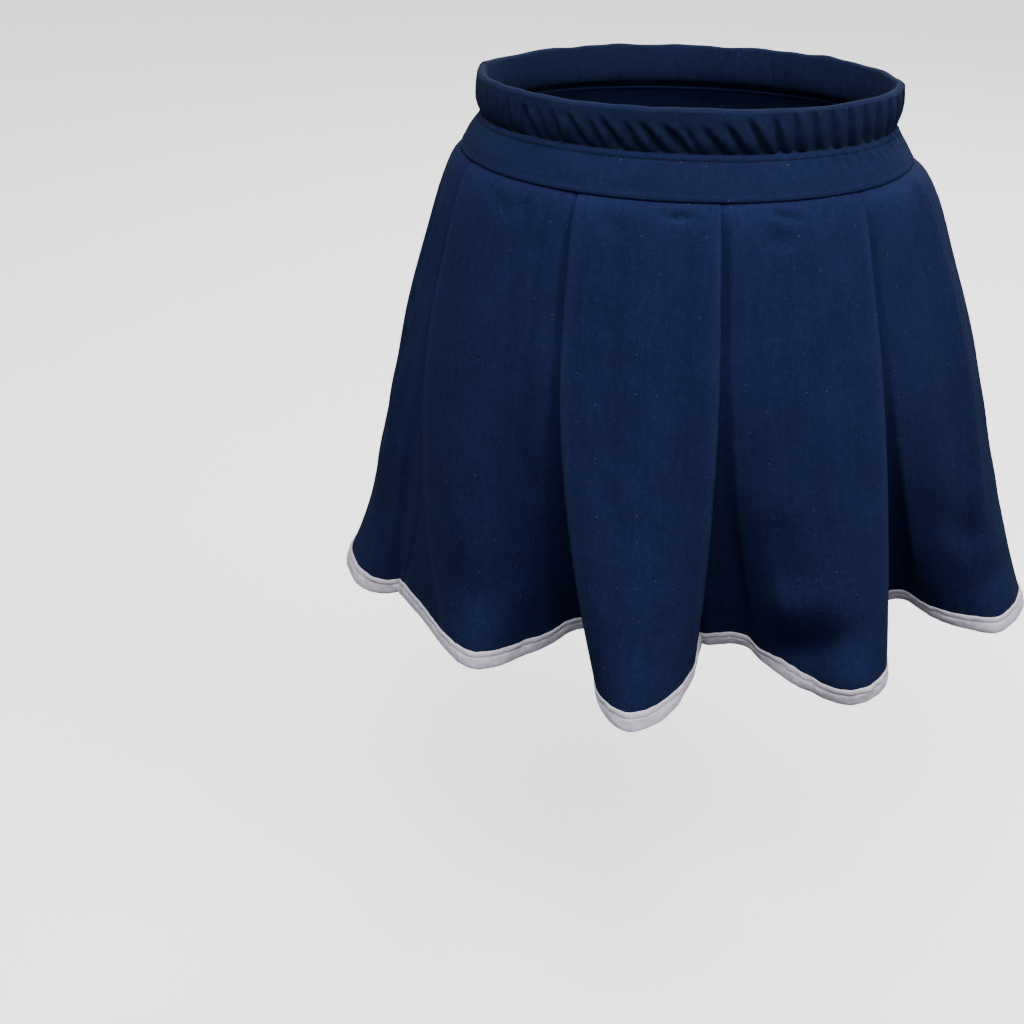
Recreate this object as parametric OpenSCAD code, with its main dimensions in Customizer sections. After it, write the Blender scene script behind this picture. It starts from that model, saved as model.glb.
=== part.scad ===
// Pleated cheer skirt: gathered elastic waistband, smooth yoke, eight flared
// pleat panels that swing from the yoke seam, folded-under pleat backs, and a
// bound hem.  Millimetres.  Origin at the centre of the elastic, +Z up, the
// front of the skirt faces -Y, the wearer's left is +X.

/* [Waist] */
// Width of the relaxed waist, side to side
waist_w = 256; // [236:1:276]
// Depth of the relaxed waist, front to back
waist_d = 192; // [176:1:208]
// Height of the gathered casing that holds the elastic
casing_h = 25; // [22:0.5:30]
// Front-to-inside thickness of the casing
casing_t = 4.6; // [4.2:0.1:6]

/* [Yoke] */
// Width of the yoke at its lower seam
yoke_w = 281; // [270:1:296]
// Depth of the yoke at its lower seam
yoke_d = 211; // [202:1:222]
// Height of the yoke at the side seams
yoke_h = 20; // [16:0.5:28]
// Extra height of the yoke at centre front and centre back
yoke_dip = 4.5; // [0:0.5:9]

/* [Pleated skirt] */
// Height from the yoke's side seam down to the hem
skirt_h = 304.5; // [280:0.5:330]
// How much higher the hem hangs inside the folds
valley_lift = 8; // [0:1:14]
// Width of the hem of the closed pleats, side to side
hem_w = 452; // [430:2:470]
// Depth of the hem of the closed pleats, front to back
hem_d = 356; // [336:2:372]
// Depth of each pleat fold at the yoke seam
pleat_depth = 24; // [18:1:28]
// Extra fullness over the left hip
side_puff = 24; // [12:1:28]
// Height, as a share of the length, from which the pleats open
open_from = 0.28; // [0.2:0.02:0.4]

/* [Cloth] */
// Thickness of the knitted skirt cloth
cloth_t = 0.8; // [0.6:0.1:0.9]
// Distance between folded layers of cloth
layer_step = 1.6; // [1.5:0.1:2]
// Height of the folded hem binding
binding_h = 11.5; // [9:0.5:14]
// Thickness of the hem binding, both sides together
binding_t = 2.6; // [2.4:0.1:3.2]

/* [Hidden] */
z_top = casing_h / 2;
z_seam = -casing_h / 2;
z_yoke = z_seam - yoke_h;
z_hem = z_yoke - skirt_h;
ya = yoke_w / 2;
yb = yoke_d / 2;
// ellipse parameter of each pleat's folded edge, at the yoke seam and at the hem
fold_top = [13.7, 50.3, 112, 159, 201, 248, 300, 340.5];
fold_hem = [14.5, 47, 105, 158, 204, 255, 312, 349];
// 1 where a panel lies over its neighbour, 0 where it goes under it
over_l = [1, 0, 0, 0, 0, 1, 1, 1];
over_r = [1, 1, 1, 1, 0, 0, 0, 0];
// direction and radius of each fold's innermost point at the hem
valley = [[22, 112], [81, 155], [112, 178], [150, 160], [208, 158], [256, 180], [298.2, 190], [343.3, 104]];
// direction and radius of the points where each panel stands out most at the hem
crest = [
    [[-3.4, 183], [2.3, 199], [8.2, 183], [14.7, 150]],
    [[44.8, 197], [53, 199]],
    [[81.8, 238], [92.3, 254]],
    [[124, 222], [138, 212]],
    [[170, 192], [190, 194]],
    [[240, 215], [226, 212]],
    [[289, 217], [277, 228]],
    [[328.1, 184], [319.1, 186]]
];
navy = [0.085, 0.14, 0.27];
navy_dark = [0.065, 0.10, 0.20];
white = [0.86, 0.85, 0.88];
grey = [0.55, 0.55, 0.58];
ring_n = 30;
// share of the length at which the hem binding starts
v_binding = 1 - binding_h / (skirt_h - 4);
rows = [0.0012, 0.05, 0.13, 0.24, 0.35, 0.46, 0.57, 0.68, 0.79, 0.88, v_binding - 0.0006];
under_rows = [-0.018, 0.0, 0.1, 0.24, 0.38, 0.52, 0.66, 0.79, 0.88, v_binding - 0.0006];
panel_n = 17;

edge_gap = 1.45;

// ---------- plain helpers ----------
function mix(a, b, k) = a + (b - a) * k;
function clamp01(x) = min(1, max(0, x));
function polar(p) = [p[1] * sin(p[0]), -p[1] * cos(p[0])];
function unit(v) = v / max(norm(v), 1e-9);
function polar_in(p, d) = polar([p[0], p[1] - d]);

// a point on an ellipse, moved out by off along the ellipse's normal
function ring_pt(t, off, a, b) = [a * sin(t), -b * cos(t)] + unit([b * sin(t), -a * cos(t)]) * off;

// ellipse parameter covered by a length of cloth at the yoke seam
function arc_deg(d, t) = d / norm([ya * cos(t), yb * sin(t)]) * 180 / PI;

// ---------- the pleated surface ----------
// Each panel is one length of cloth that passes through eight stations:
// fold seam, fold edge, panel edge, two points across the panel, panel edge,
// fold edge, fold seam.  Stations are placed at the top on the closed pleats
// and at the hem on the open flutes, and blended between.
function t_left(i, v) = i == 0 ? mix(fold_top[7], fold_hem[7], v) - 360
                               : mix(fold_top[i - 1], fold_hem[i - 1], v);
function t_right(i, v) = mix(fold_top[i], fold_hem[i], v);

// the folds are pulled further in where they are sewn into the yoke seam
function tuck(v) = 1.1 * exp(-max(v, 0) / 0.06);

function closed_stations(i, v) =
    let (tl = t_left(i, v), tr = t_right(i, v),
         dl = arc_deg(pleat_depth, tl), dr = arc_deg(pleat_depth, tr),
         rl = arc_deg(6, tl), rr = arc_deg(6, tr), k = tuck(v),
         l = over_l[i] == 1 ? [[tl + dl, -1 - k], [tl, -1 - k], [tl, 0]]
                            : [[tl - dl, -2 - k], [tl, -2 - k], [tl + rl, -0.4]],
         r = over_r[i] == 1 ? [[tr, 0], [tr, -1 - k], [tr - dr, -1 - k]]
                            : [[tr - rr, -0.4], [tr, -2 - k], [tr + dr, -2 - k]])
    concat(l, [[mix(tl, tr, 0.38), 0], [mix(tl, tr, 0.62), 0]], r);

function hem_stations(i) =
    let (vl = over_l[i] == 1 ? polar(valley[(i + 7) % 8]) : polar_in(valley[(i + 7) % 8], layer_step),
         vr = over_r[i] == 1 ? polar(valley[i]) : polar_in(valley[i], layer_step),
         c = [for (p = crest[i]) polar(p)])
    len(c) == 4
        ? [vl, mix(c[0], vl, 0.4), c[0], c[1], c[2], c[3], mix(c[3], vr, 0.4), vr]
    : over_r[i] == 1
        ? [vl, mix(vl, c[0], 0.14), mix(vl, c[0], 0.36), mix(vl, c[0], 0.72),
           c[0], c[1], mix(c[1], vr, 0.4), vr]
    : over_l[i] == 1
        ? [vl, mix(c[1], vl, 0.4), c[1], c[0], mix(vr, c[0], 0.72),
           mix(vr, c[0], 0.36), mix(vr, c[0], 0.14), vr]
        : [vl, mix(vl, c[0], 0.14), mix(vl, c[0], 0.5), c[0],
           c[1], mix(vr, c[1], 0.5), mix(vr, c[1], 0.14), vr];

function hip(t, v) = side_puff * pow(max(0, cos(t - 90)), 8) * pow(max(v, 0), 0.6);
function seam_puff(v) = 4 * (1 - exp(-max(v, 0) / 0.03));
function flare(v) = v < 0 ? v : pow(v, 0.92);
function half_w(v) = v < 0 ? ya + v * skirt_h * 0.62 : mix(ya, hem_w / 2, flare(v));
function half_d(v) = v < 0 ? yb + v * skirt_h * 0.46 : mix(yb, hem_d / 2, flare(v));
function opening(v) = pow(clamp01((v - open_from) / (1 - open_from)), 1.7);

// share of valley_lift at each station
hem_rise = [1, 0.8, 0.3, 0, 0, 0.3, 0.8, 1];

// a point on the closed pleats; hidden cloth never stands out further than the
// folded edge it hangs from
function closed_pt(i, st, u, v) =
    let (k = min(6, floor(u)), s = u - k, t = mix(st[k][0], st[k + 1][0], s),
         lay = mix(st[k][1], st[k + 1][1], s),
         edge = u < 3.5 ? t_left(i, v) : t_right(i, v),
         h = u < 1 || u > 6 ? min(hip(t, v), hip(edge, v)) : hip(t, v))
    ring_pt(t, layer_step * lay + seam_puff(v) + h, half_w(v), half_d(v));

// a point on the open hem: a smooth curve through the eight stations
function open_pt(P, u) =
    let (k = min(6, floor(u)), s = u - k,
         p0 = P[max(k - 1, 0)], p1 = P[k], p2 = P[k + 1], p3 = P[min(k + 2, 7)],
         a = (2 * s - 3) * s * s + 1, b = ((s - 2) * s + 1) * s,
         c = (3 - 2 * s) * s * s, d = (s - 1) * s * s)
    p1 * a + (p2 - p0) * (b / 2) + p2 * c + (p3 - p1) * (d / 2);

// everything one height of a panel needs: [panel, v, stations here, stations at
// the hem's height, open hem stations]
function section(i, v) = [i, v, closed_stations(i, v), closed_stations(i, 1), hem_stations(i)];

function along(S, u) =
    let (i = S[0], v = S[1], k = opening(v), uk = min(6, floor(u)),
         t = mix(S[2][uk][0], S[2][uk + 1][0], u - uk),
         rise = mix(hem_rise[uk], hem_rise[uk + 1], u - uk),
         p = closed_pt(i, S[2], u, v),
         xy = k > 0 ? p + k * (open_pt(S[4], u) - closed_pt(i, S[3], u, 1)) : p)
    [xy[0], xy[1], mix(z_yoke - yoke_dip * abs(cos(t)), z_hem + valley_lift * rise, v)];

// a path is a list of [panel, u at the yoke seam, u at the hem, cut]; a cut
// moves the point that many millimetres along its stretch, and leaves the gap
// between a panel's edge and the fold behind it
function cut_u(S, u, d) =
    d == 0 ? u
    : let (half = norm(along(S, u + sign(d) * 0.5) - along(S, u)))
      u + sign(d) * min(0.9, abs(d) / max(half * 2, 0.1));

function grid(path, vs) =
    [for (v = vs)
        let (g0 = path[0][0], g1 = path[len(path) - 1][0],
             A = section(g0, v), B = g1 == g0 ? A : section(g1, v), k = opening(v))
        [for (q = path) let (S = q[0] == g0 ? A : B)
            along(S, cut_u(S, mix(q[1], q[2], k), q[3] * (1 + tuck(v))))]];

function grid_normal(G, r, c) =
    let (nr = len(G) - 1, nc = len(G[0]) - 1,
         du = G[r][min(c + 1, nc)] - G[r][max(c - 1, 0)],
         dv = G[min(r + 1, nr)][c] - G[max(r - 1, 0)][c])
    unit(cross(dv, du));

// closed sheet of cloth over a grid of points
module cloth(path, vs, t) {
    G = grid(path, vs);
    nr = len(G);
    nc = len(G[0]);
    function id(s, r, c) = s * nr * nc + r * nc + c;
    pts = [for (s = [1, -1]) for (r = [0:nr - 1]) for (c = [0:nc - 1])
        G[r][c] + grid_normal(G, r, c) * s * t / 2];
    faces = concat(
        [for (r = [0:nr - 2]) for (c = [0:nc - 2]) each [
            [id(0, r, c), id(0, r, c + 1), id(0, r + 1, c)],
            [id(0, r, c + 1), id(0, r + 1, c + 1), id(0, r + 1, c)],
            [id(1, r, c), id(1, r + 1, c), id(1, r, c + 1)],
            [id(1, r, c + 1), id(1, r + 1, c), id(1, r + 1, c + 1)]]],
        [for (c = [0:nc - 2]) each [
            [id(0, 0, c), id(1, 0, c), id(0, 0, c + 1)],
            [id(1, 0, c), id(1, 0, c + 1), id(0, 0, c + 1)],
            [id(0, nr - 1, c), id(0, nr - 1, c + 1), id(1, nr - 1, c)],
            [id(1, nr - 1, c), id(0, nr - 1, c + 1), id(1, nr - 1, c + 1)]]],
        [for (r = [0:nr - 2]) each [
            [id(0, r, 0), id(0, r + 1, 0), id(1, r, 0)],
            [id(1, r, 0), id(0, r + 1, 0), id(1, r + 1, 0)],
            [id(0, r, nc - 1), id(1, r, nc - 1), id(0, r + 1, nc - 1)],
            [id(1, r, nc - 1), id(1, r + 1, nc - 1), id(0, r + 1, nc - 1)]]]);
    polyhedron(points = pts, faces = faces, convexity = 8);
}

// sweep of a closed profile through rings of points
module skin(rings) {
    n = len(rings[0]);
    m = len(rings);
    pts = [for (r = rings) each r];
    faces = concat(
        [[for (k = [0:n - 1]) k]],
        [[for (k = [n - 1:-1:0]) (m - 1) * n + k]],
        [for (r = [0:m - 2]) for (k = [0:n - 1]) let (k2 = (k + 1) % n) each [
            [r * n + k, (r + 1) * n + k, r * n + k2],
            [r * n + k2, (r + 1) * n + k, (r + 1) * n + k2]]]);
    polyhedron(points = pts, faces = faces, convexity = 8);
}

// folded binding, as thick as its two sides and the cloth between them
module hem_binding(path) {
    G = grid(path, [v_binding, 0.985, 1]);
    o = binding_t / 2;
    skin([for (c = [0:len(path) - 1])
        let (n0 = grid_normal(G, 0, c), n1 = grid_normal(G, 1, c), n2 = grid_normal(G, 2, c))
        [G[0][c] + n0 * o, G[1][c] + n1 * o, G[2][c] + n2 * o * 0.7,
         G[2][c] - n2 * o * 0.7, G[1][c] - n1 * o, G[0][c] - n0 * o]]);
}

function panel_path(i) =
    let (u0 = over_l[i] == 1 ? 2 : 1.25, u1 = over_r[i] == 1 ? 5 : 5.75)
    [for (k = [0:panel_n]) let (u = mix(u0, u1, k / panel_n)) [i, u, u, 0]];

function fold_path(i) =
    let (j = (i + 1) % 8)
    over_r[i] == 1
        ? [[i, 5, 5, edge_gap], [i, 6.05, 5.5, 0], [i, 6.4, 6.1, 0], [i, 6.8, 6.7, 0],
           [j, 0.2, 0.3, 0], [j, 0.5, 0.7, 0], [j, 0.85, 1.0, 0], [j, 1.25, 1.25, -edge_gap]]
        : [[i, 5.75, 5.75, edge_gap], [i, 6.15, 6.0, 0], [i, 6.5, 6.3, 0], [i, 6.8, 6.7, 0],
           [j, 0.2, 0.3, 0], [j, 0.6, 0.9, 0], [j, 0.95, 1.5, 0], [j, 2, 2, -edge_gap]];

module panel(i) color(navy) cloth(panel_path(i), rows, cloth_t);
module panel_binding(i) color(white) hem_binding(panel_path(i));
module fold(i) color(navy_dark) cloth(fold_path(i), under_rows, cloth_t);
module fold_binding(i) color(white) hem_binding(fold_path(i));

// ---------- waist ----------
// profile points are [offset from the waist ellipse, z]
module band(prof, a, b, t0, t1, n) {
    skin([for (k = [0:n]) let (t = mix(t0, t1, k / n))
        [for (p = prof) let (q = ring_pt(t, p[0], a, b)) [q[0], q[1], p[1]]]]);
}

module closed_band(prof, a, b, n) {
    m = len(prof);
    pts = [for (k = [0:n - 1]) for (p = prof)
        let (q = ring_pt(360 * k / n, p[0], a, b)) [q[0], q[1], p[1]]];
    faces = [for (k = [0:n - 1]) for (j = [0:m - 1])
        let (k2 = (k + 1) % n, j2 = (j + 1) % m) each [
            [k * m + j, k2 * m + j, k * m + j2],
            [k * m + j2, k2 * m + j, k2 * m + j2]]];
    polyhedron(points = pts, faces = faces, convexity = 8);
}

module casing_half(t0, t1) {
    w = casing_t;
    outer = [[0.9, z_top - 1], [1.5, 0], [-0.8, z_seam + 0.6],
             [-w, z_seam + 0.6], [-w - 0.6, 0], [-w + 0.2, z_top - 1],
             [-w / 2, z_top]];
    inner = [[-0.5, z_top - 3], [0.2, 0], [-1.3, z_seam + 3],
             [-w + 0.8, z_seam + 3], [-w + 0.4, 0], [-w + 1, z_top - 3]];
    color(navy_dark) difference() {
        band(outer, waist_w / 2, waist_d / 2, t0 + 0.1, t1 - 0.1, ring_n);
        band(inner, waist_w / 2, waist_d / 2, t0 - 2, t1 + 2, ring_n + 2);
    }
}
module waistband_front() casing_half(-90, 90);
module waistband_back() casing_half(90, 270);

module waist_elastic() {
    c = -casing_t / 2 + 0.05;
    color(grey) closed_band([[c + 0.6, z_top - 3.6], [c + 0.6, z_seam + 3.6],
        [c - 0.6, z_seam + 3.6], [c - 0.6, z_top - 3.6]], waist_w / 2, waist_d / 2, 60);
}

// two rows of thread that close the casing
module casing_stitching() {
    color(navy_dark) for (row = [[0, 0], [1.85, -2.6]]) {
        closed_band([[row[0] - 0.1, z_seam - 0.3 + row[1]], [row[0] + 0.55, z_seam - 0.7 + row[1]],
            [row[0] + 0.1, z_seam - 1.1 + row[1]]], waist_w / 2, waist_d / 2, 54);
    }
}

module yoke_half(t0, t1) {
    t = 0.9;
    wa = waist_w / 2 - 1.6;
    wb = waist_d / 2 - 1.2;
    color(navy) skin([for (k = [0:ring_n])
        let (p = mix(t0 + 0.1, t1 - 0.1, k / ring_n),
             zb = z_yoke - yoke_dip * abs(cos(p)) + 0.25)
        concat(
            [for (f = [0, 0.4, 0.75, 1])
                let (q = ring_pt(p, 0.9 * sin(180 * f), mix(wa, ya, f), mix(wb, yb, f)))
                [q[0], q[1], mix(z_seam + 0.1, zb, f)]],
            [for (f = [1, 0.75, 0.4, 0])
                let (q = ring_pt(p, 0.9 * sin(180 * f) - t, mix(wa, ya, f), mix(wb, yb, f)))
                [q[0], q[1], mix(z_seam + 0.1, zb, f)]])]);
}
module yoke_front() yoke_half(-90, 90);
module yoke_back() yoke_half(90, 270);

waistband_front();
waistband_back();
waist_elastic();
casing_stitching();
yoke_front();
yoke_back();
panel(0);  // panel_front_center
panel(1);  // panel_front_left
panel(2);  // panel_side_left
panel(3);  // panel_back_left
panel(4);  // panel_back_center
panel(5);  // panel_back_right
panel(6);  // panel_side_right
panel(7);  // panel_front_right
panel_binding(0);  // binding_front_center
panel_binding(1);  // binding_front_left
panel_binding(2);  // binding_side_left
panel_binding(3);  // binding_back_left
panel_binding(4);  // binding_back_center
panel_binding(5);  // binding_back_right
panel_binding(6);  // binding_side_right
panel_binding(7);  // binding_front_right
fold(0);  // fold_front_left
fold(1);  // fold_side_left_front
fold(2);  // fold_side_left_back
fold(3);  // fold_back_left
fold(4);  // fold_back_right
fold(5);  // fold_side_right_back
fold(6);  // fold_side_right_front
fold(7);  // fold_front_right
fold_binding(0);  // fold_binding_front_left
fold_binding(1);  // fold_binding_side_left_front
fold_binding(2);  // fold_binding_side_left_back
fold_binding(3);  // fold_binding_back_left
fold_binding(4);  // fold_binding_back_right
fold_binding(5);  // fold_binding_side_right_back
fold_binding(6);  // fold_binding_side_right_front
fold_binding(7);  // fold_binding_front_right
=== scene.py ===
import math

import bpy
import numpy as np
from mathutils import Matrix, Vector


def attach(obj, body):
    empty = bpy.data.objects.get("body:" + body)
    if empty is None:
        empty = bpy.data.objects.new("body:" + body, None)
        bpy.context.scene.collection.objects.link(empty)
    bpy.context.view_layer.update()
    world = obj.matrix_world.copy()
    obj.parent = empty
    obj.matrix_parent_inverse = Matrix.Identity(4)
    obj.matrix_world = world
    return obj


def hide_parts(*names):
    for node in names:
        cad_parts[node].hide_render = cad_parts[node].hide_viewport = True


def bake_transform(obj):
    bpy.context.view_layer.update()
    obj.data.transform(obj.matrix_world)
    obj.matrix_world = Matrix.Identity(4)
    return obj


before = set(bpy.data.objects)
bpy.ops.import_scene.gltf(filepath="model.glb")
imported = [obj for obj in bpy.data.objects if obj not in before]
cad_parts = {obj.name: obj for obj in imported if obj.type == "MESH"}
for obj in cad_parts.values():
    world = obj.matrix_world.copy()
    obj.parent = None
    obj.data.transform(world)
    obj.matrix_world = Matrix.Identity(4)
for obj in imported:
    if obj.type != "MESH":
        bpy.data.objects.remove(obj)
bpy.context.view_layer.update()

# Pleated cheer skirt. Lengths in the tables below are millimetres, and meshes are made in metres.
MM = 0.001

# ---------------------------------------------------------------- design values, as in the CAD part
WAIST = (128.0, 96.0)
YOKE = (140.5, 105.5)
HEM = (226.0, 178.0)
CASING_H = 25.0
CASING_T = 4.6
Z_TOP = CASING_H / 2
Z_SEAM = -CASING_H / 2
YOKE_H = 20.0
YOKE_DIP = 4.5
Z_YOKE = Z_SEAM - YOKE_H
SKIRT_H = 304.5
Z_HEM = Z_YOKE - SKIRT_H
VALLEY_LIFT = 8.0
PLEAT_DEPTH = 24.0
SIDE_PUFF = 24.0
OPEN_FROM = 0.28
LAYER = 1.6
RAMP = 6.0
BINDING_H = 11.5
FOLD_TOP = (13.7, 50.3, 112.0, 159.0, 201.0, 248.0, 300.0, 340.5)
FOLD_HEM = (14.5, 47.0, 105.0, 158.0, 204.0, 255.0, 312.0, 349.0)
OVER_L = (1, 0, 0, 0, 0, 1, 1, 1)
OVER_R = (1, 1, 1, 1, 0, 0, 0, 0)
VALLEY = ((22, 112), (81, 155), (112, 178), (150, 160), (208, 158), (256, 180), (298.2, 190), (343.3, 104))
CREST = (
    ((-3.4, 183), (2.3, 199), (8.2, 183), (14.7, 150)),
    ((44.8, 197), (53, 199)),
    ((81.8, 238), (92.3, 254)),
    ((124, 222), (138, 212)),
    ((170, 192), (190, 194)),
    ((240, 215), (226, 212)),
    ((289, 217), (277, 228)),
    ((328.1, 184), (319.1, 186)),
)
PANELS = ("front_center", "front_left", "side_left", "back_left",
          "back_center", "back_right", "side_right", "front_right")
FOLDS = ("front_left", "side_left_front", "side_left_back", "back_left",
         "back_right", "side_right_back", "side_right_front", "front_right")
CLOTH = 0.9
V_BINDING = 1 - BINDING_H / (SKIRT_H - 4)
# the gore's cloth stops just above the fold of its binding
CLOTH_END = 0.9975
CAMERA_AT = Vector((0.0948, -0.9023, 0.1928))
CAMERA_TO = Vector((-0.1065, -0.0112, -0.2979))
CAMERA_LENS = 50.66


def mix(a, b, k):
    return a + (b - a) * k


def smooth(lo, hi, x):
    k = np.clip((x - lo) / (hi - lo), 0.0, 1.0)
    return k * k * (3 - 2 * k)


def sind(t):
    return np.sin(np.radians(t))


def cosd(t):
    return np.cos(np.radians(t))


# ---------------------------------------------------------------- seeded smooth noise
class Waves:
    """Smooth noise over a cloth: a sum of sine waves with random directions, from one seed."""

    def __init__(self, seed, shortest, longest, count=14, stretch=1.0):
        rng = np.random.default_rng(seed)
        length = np.exp(rng.uniform(math.log(shortest), math.log(longest), count))
        angle = rng.uniform(0, math.pi, count)
        self.kx = 2 * math.pi / length * np.cos(angle)
        self.ky = 2 * math.pi / length * np.sin(angle) / stretch
        self.phase = rng.uniform(0, 2 * math.pi, count)
        self.size = length / length.max()
        self.norm = math.sqrt((self.size ** 2).sum() / 2)

    def __call__(self, x, y):
        total = 0.0
        for kx, ky, phase, size in zip(self.kx, self.ky, self.phase, self.size):
            total = total + size * np.sin(kx * x + ky * y + phase)
        return total / self.norm


# ---------------------------------------------------------------- the pleated surface
def ring(t, off, a, b):
    nx, ny = b * sind(t), -a * cosd(t)
    size = np.hypot(nx, ny)
    return a * sind(t) + off * nx / size, -b * cosd(t) + off * ny / size


def arc_deg(depth, t):
    return np.degrees(depth / np.hypot(YOKE[0] * cosd(t), YOKE[1] * sind(t)))


def polar(az, r):
    return np.array([r * sind(az), -r * cosd(az)])


def t_left(i, v):
    last = (i - 1) % 8
    turn = 360 if i == 0 else 0
    return mix(FOLD_TOP[last], FOLD_HEM[last], v) - turn


def t_right(i, v):
    return mix(FOLD_TOP[i], FOLD_HEM[i], v)


def closed_stations(i, v):
    """Ellipse parameter (8, rows) and layer (8,) of the stations on the closed pleats."""
    tl, tr = t_left(i, v), t_right(i, v)
    dl, dr = arc_deg(PLEAT_DEPTH, tl), arc_deg(PLEAT_DEPTH, tr)
    rl, rr = arc_deg(RAMP, tl), arc_deg(RAMP, tr)
    if OVER_L[i]:
        left, left_lay = [tl + dl, tl, tl], [-1.5, -1, 0]
    else:
        left, left_lay = [tl - dl, tl, tl + rl], [-1.5, -2, -0.4]
    if OVER_R[i]:
        right, right_lay = [tr, tr, tr - dr], [0, -1, -1.5]
    else:
        right, right_lay = [tr - rr, tr, tr + dr], [-0.4, -2, -1.5]
    middle = [mix(tl, tr, 0.38), mix(tl, tr, 0.62)]
    return np.array(left + middle + right), np.array(left_lay + [0, 0] + right_lay, float)


def hem_stations(i):
    """The eight stations (x, y) of a gore's open hem, from valley to valley."""
    left_az, left_r = VALLEY[(i - 1) % 8]
    right_az, right_r = VALLEY[i]
    vl = polar(left_az, left_r - LAYER / 2)
    vr = polar(right_az, right_r - LAYER / 2)
    c = [polar(*p) for p in CREST[i]]
    if len(c) == 4:
        return np.array([vl, mix(c[0], vl, 0.4), c[0], c[1], c[2], c[3], mix(c[3], vr, 0.4), vr])
    if OVER_R[i]:
        k, e = c
        return np.array([vl, mix(vl, k, 0.14), mix(vl, k, 0.36), mix(vl, k, 0.72),
                         k, e, mix(e, vr, 0.4), vr])
    if OVER_L[i]:
        k, e = c
        return np.array([vl, mix(e, vl, 0.4), e, k,
                         mix(vr, k, 0.72), mix(vr, k, 0.36), mix(vr, k, 0.14), vr])
    k, e = c
    return np.array([vl, mix(vl, k, 0.14), mix(vl, k, 0.5), k,
                     e, mix(vr, e, 0.5), mix(vr, e, 0.14), vr])


def hip(t, v):
    return SIDE_PUFF * np.maximum(0, cosd(t - 90)) ** 8 * np.maximum(v, 0) ** 0.6


def puff(v):
    """The skirt comes out from under the yoke's edge and fills out just below it."""
    return -3.4 + 7.4 * (1 - np.exp(-np.maximum(v + 0.0005, 0) / 0.0130))


def flare(v):
    return np.where(v < 0, v, np.maximum(v, 0) ** 0.92)


def half_w(v):
    return np.where(v < 0, YOKE[0] + v * SKIRT_H * 0.62, mix(YOKE[0], HEM[0], flare(v)))


def half_d(v):
    return np.where(v < 0, YOKE[1] + v * SKIRT_H * 0.46, mix(YOKE[1], HEM[1], flare(v)))


def opening(v):
    """How far the pleats have opened at each v: 0 is closed and 1 is the hem's outline."""
    return np.clip((v - OPEN_FROM) / (1 - OPEN_FROM), 0, 1) ** 1.7


def closed_xy(i, u, v):
    """u is (1, columns), v is (rows, 1)."""
    rows = v[:, 0]
    t8, lay8 = closed_stations(i, rows)
    k = np.minimum(6, np.floor(u[0])).astype(int)
    s = u[0] - k
    t = (t8[k] * (1 - s)[:, None] + t8[k + 1] * s[:, None]).T
    lay = (lay8[k] * (1 - s) + lay8[k + 1] * s)[None, :]
    edge = np.where(u < 3.5, t_left(i, v), t_right(i, v))
    hidden = (u < 1) | (u > 6)
    h = np.where(hidden, np.minimum(hip(t, v), hip(edge, v)), hip(t, v))
    bend = 4 * s * (1 - s)
    roll = arc_deg(0.75, edge)
    if OVER_L[i]:
        t = t - np.where(k == 1, bend, 0)[None, :] * roll
    if OVER_R[i]:
        t = t + np.where(k == 5, bend, 0)[None, :] * roll
    x, y = ring(t, LAYER * lay + puff(v) + h, half_w(v), half_d(v))
    return x, y, t


def hem_path(i, u):
    """A smooth curve through the hem's stations, at each u."""
    p = hem_stations(i)
    k = np.minimum(6, np.floor(u[0])).astype(int)
    s = (u[0] - k)[:, None]
    p0, p1, p2, p3 = p[np.maximum(k - 1, 0)], p[k], p[k + 1], p[np.minimum(k + 2, 7)]
    a, b = (2 * s - 3) * s * s + 1, ((s - 2) * s + 1) * s
    c, d = (3 - 2 * s) * s * s, (s - 1) * s * s
    return p1 * a + (p2 - p0) * (b / 2) + p2 * c + (p3 - p1) * (d / 2)


# How far each gore's hem is rounded over at its corners, as a length of u
ROUNDING = (0.10, 0.10, 0.30, 0.25, 0.25, 0.25, 0.42, 0.50)


def open_xy(i, u):
    """The open hem at each u, with its corners rounded over."""
    reach = ROUNDING[i] * np.clip(np.minimum(u, 7 - u), 0, 1)
    return 0.5 * hem_path(i, u) + 0.25 * (hem_path(i, u - reach) + hem_path(i, u + reach))


HEM_RISE = np.array([1, 0.8, 0.3, 0, 0, 0.3, 0.8, 1])


def surface(i, u, v):
    """Points (rows, columns, 3) of panel i before its wrinkles."""
    u, v = np.asarray(u, float)[None, :], np.asarray(v, float)[:, None]
    x, y, t = closed_xy(i, u, v)
    x1, y1, _ = closed_xy(i, u, np.ones((1, 1)))
    far = open_xy(i, u)
    k = opening(v)
    x = x + k * (far[None, :, 0] - x1)
    y = y + k * (far[None, :, 1] - y1)
    rise = np.interp(u[0], np.arange(8), HEM_RISE)[None, :]
    z = mix(Z_YOKE - YOKE_DIP * np.abs(cosd(t)), Z_HEM + VALLEY_LIFT * rise, v)
    return np.stack([x, y, z], axis=2)


def normals(p):
    du = np.gradient(p, axis=1)
    dv = np.gradient(p, axis=0)
    n = np.cross(dv, du)
    return n / np.maximum(np.linalg.norm(n, axis=2, keepdims=True), 1e-9)


def lengths_across(p):
    step = np.linalg.norm(np.diff(p, axis=1), axis=2)
    return np.concatenate([np.zeros((p.shape[0], 1)), np.cumsum(step, axis=1)], axis=1)


def lengths_down(p):
    step = np.linalg.norm(np.diff(p, axis=0), axis=2)
    return np.concatenate([np.zeros((1, p.shape[1])), np.cumsum(step, axis=0)], axis=0)


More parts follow.
